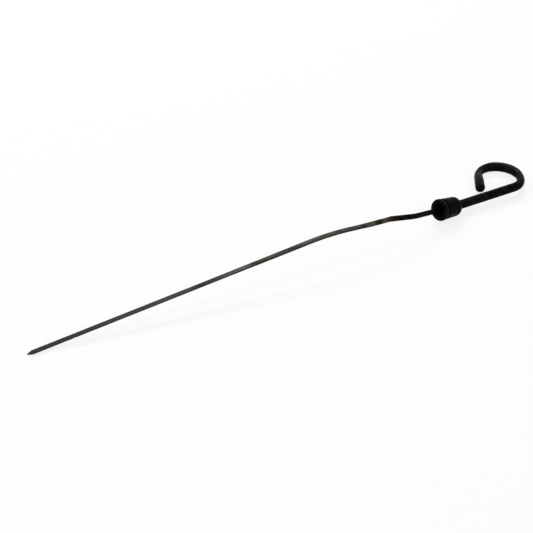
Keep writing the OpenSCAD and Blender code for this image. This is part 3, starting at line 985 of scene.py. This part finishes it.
blade = swept_strip("blade_strip", strip.points, lambda length: 1.0, strip_values)

# %% [markdown]
# ## The coat on the root
# The enamel on the root is a second, slightly larger sweep over the same points. Its section
# shrinks over the last few millimetres until it sinks into the steel, so the coat ends in a thin
# film and not in a step.

# %% Sweep the root's coat
COAT = 0.16
PICK_SLACK = 0.5  # so that the point where the root starts is surely picked
PAST_ROOT = 2.6  # how far the coat runs on past the root's last bend
FADE_LENGTH, FADE_SHARE, FADE_POWER = 4.0, 0.21, 1.5

coat_points = [row for row in strip.points
               if root_from - PICK_SLACK <= row[3] <= root_to + PAST_ROOT]
coat_end = coat_points[-1][3]


def coat_growth(length):
    """1 on the coated root, falling to where the coat meets the steel."""
    gone = min(1.0, max(0.0, 1 - (coat_end - length) / FADE_LENGTH))
    return 1.0 - FADE_SHARE * gone ** FADE_POWER


root_coat = swept_strip("root_coat", coat_points, coat_growth, {
    **strip_values, "Width": (STRIP_WIDTH + 2 * COAT) * MM,
    "Thickness": (STRIP_THICKNESS + 2 * COAT) * MM, "Edge radius": (EDGE_RADIUS + COAT) * MM,
    "Finish": root_finish})

# %% [markdown]
# ## Light and table
# The photograph has flat studio light on pure white. A grey world lights everything evenly, a
# soft panel behind and above draws the long highlights on the rod, and two weaker ones fill from
# the left and from the front. The table is pale and shows a faint shadow. Camera, glossy and
# transmission rays see white, so the background is white and the black coat reflects it. The view
# transform is Standard, so that white stays white in the picture.

# %% Make the world
SKY, SKY_STRENGTH = (0.86, 0.87, 0.88, 1), 0.40
WHITE = (1, 1, 1, 1)


def sees_background(tree):
    """1 for the rays that show the background: from the camera, off a gloss, and through glass."""
    ray = add_node(tree, "ShaderNodeLightPath").outputs
    either = calc(tree, "MAXIMUM", ray["Is Camera Ray"], ray["Is Glossy Ray"])
    return calc(tree, "MAXIMUM", either, ray["Is Transmission Ray"])


def show_mix(tree, output, mask, first, second):
    """The output shows the first shader where the mask is 0 and the second where it is 1."""
    mix = add_node(tree, "ShaderNodeMixShader", {0: mask, 1: first, 2: second})
    tree.links.new(mix.outputs["Shader"], tree.nodes[output].inputs["Surface"])


world = bpy.data.worlds.new("studio")
bpy.context.scene.world = world
world.use_nodes = True
tree = world.node_tree
sky = tree.nodes["Background"]
sky.inputs["Color"].default_value = SKY
sky.inputs["Strength"].default_value = SKY_STRENGTH
white = add_node(tree, "ShaderNodeBackground", {"Color": WHITE, "Strength": 1.0})
show_mix(tree, "World Output", sees_background(tree),
         sky.outputs["Background"], white.outputs["Background"])
bpy.context.scene.view_settings.view_transform = "Standard"
print("world:", world.name, "at strength", SKY_STRENGTH)

# %% [markdown]
# ## Soft panels
# A small lamp would draw a hard spark on the coat. A large panel draws the long, soft highlight
# that the photograph has, so all three lights are panels, aimed at the middle of the dipstick.

# %% Make the lights
# name, place and size in metres, power in watts
PANELS = [
    ("back_panel", (0.35, 1.3, 1.5), (0.9, 0.45), 22),
    ("left_panel", (-1.5, 0.2, 1.2), (0.5, 0.5), 9),
    ("front_panel", (0.2, -1.5, 1.3), (0.8, 0.5), 7),
]
middle_of_part = (cad_low + cad_high) / 2

for name, lamp_at, (width, height), power in PANELS:
    data = bpy.data.lights.new(name, "AREA")
    data.shape, data.size, data.size_y, data.energy = "RECTANGLE", width, height, power
    lamp = bpy.data.objects.new(name, data)
    lamp.location = lamp_at
    lamp.rotation_euler = (middle_of_part - Vector(lamp_at)).to_track_quat("-Z", "Y").to_euler()
    bpy.context.scene.collection.objects.link(lamp)
    print(name, power, "W")

# %% [markdown]
# ## A table that almost isn't there
# The photograph's ground is pure white but for a faint shadow. A plain white table would turn out
# grey under this light. So most of what the camera sees of it is a white glow, and only the rest
# is a matt surface that takes the shadow.

# %% Make the table
TABLE_HALF = 3.0  # metres
TABLE_DROP = 0.02  # mm below the dipstick's lowest point
TABLE_WHITE, GLOW_SHARE = (0.92, 0.92, 0.92, 1), 0.82

table_corners = [(x * TABLE_HALF, y * TABLE_HALF, 0) for x, y in ((-1, -1), (1, -1), (1, 1), (-1, 1))]
table_mesh = bpy.data.meshes.new("table")
table_mesh.from_pydata(table_corners, [], [(0, 1, 2, 3)])
table_mesh.transform(Matrix.Translation((0, 0, cad_low.z - TABLE_DROP * MM)))
table = bpy.data.objects.new("table", table_mesh)
bpy.context.scene.collection.objects.link(table)

table_finish, tree, shader = new_finish("table_white")
shader.inputs["Base Color"].default_value = TABLE_WHITE
shader.inputs["Roughness"].default_value = 0.9
shader.inputs["Specular IOR Level"].default_value = 0.1
glow = add_node(tree, "ShaderNodeEmission", {"Color": WHITE, "Strength": 1.0})
glowing = calc(tree, "MULTIPLY", sees_background(tree), GLOW_SHARE)
show_mix(tree, "Material Output", glowing, shader.outputs["BSDF"], glow.outputs["Emission"])
table_mesh.materials.append(table_finish)
print("table, mm below the part:", TABLE_DROP)

# %% [markdown]
# ## Tie the dressed pieces to the frame
# Each piece rides on the one body, and the CAD node that it dresses is hidden.

# %% Ride and replace
for piece, node_name, slot in (
        (handle, "handle_rod", "handle_coat"), (cap, "stop_cap", "cap_paint"),
        (blade, "blade", "blade_steel"), (root_coat, "blade", "blade_steel")):
    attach(piece, "root")
    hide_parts(node_name)
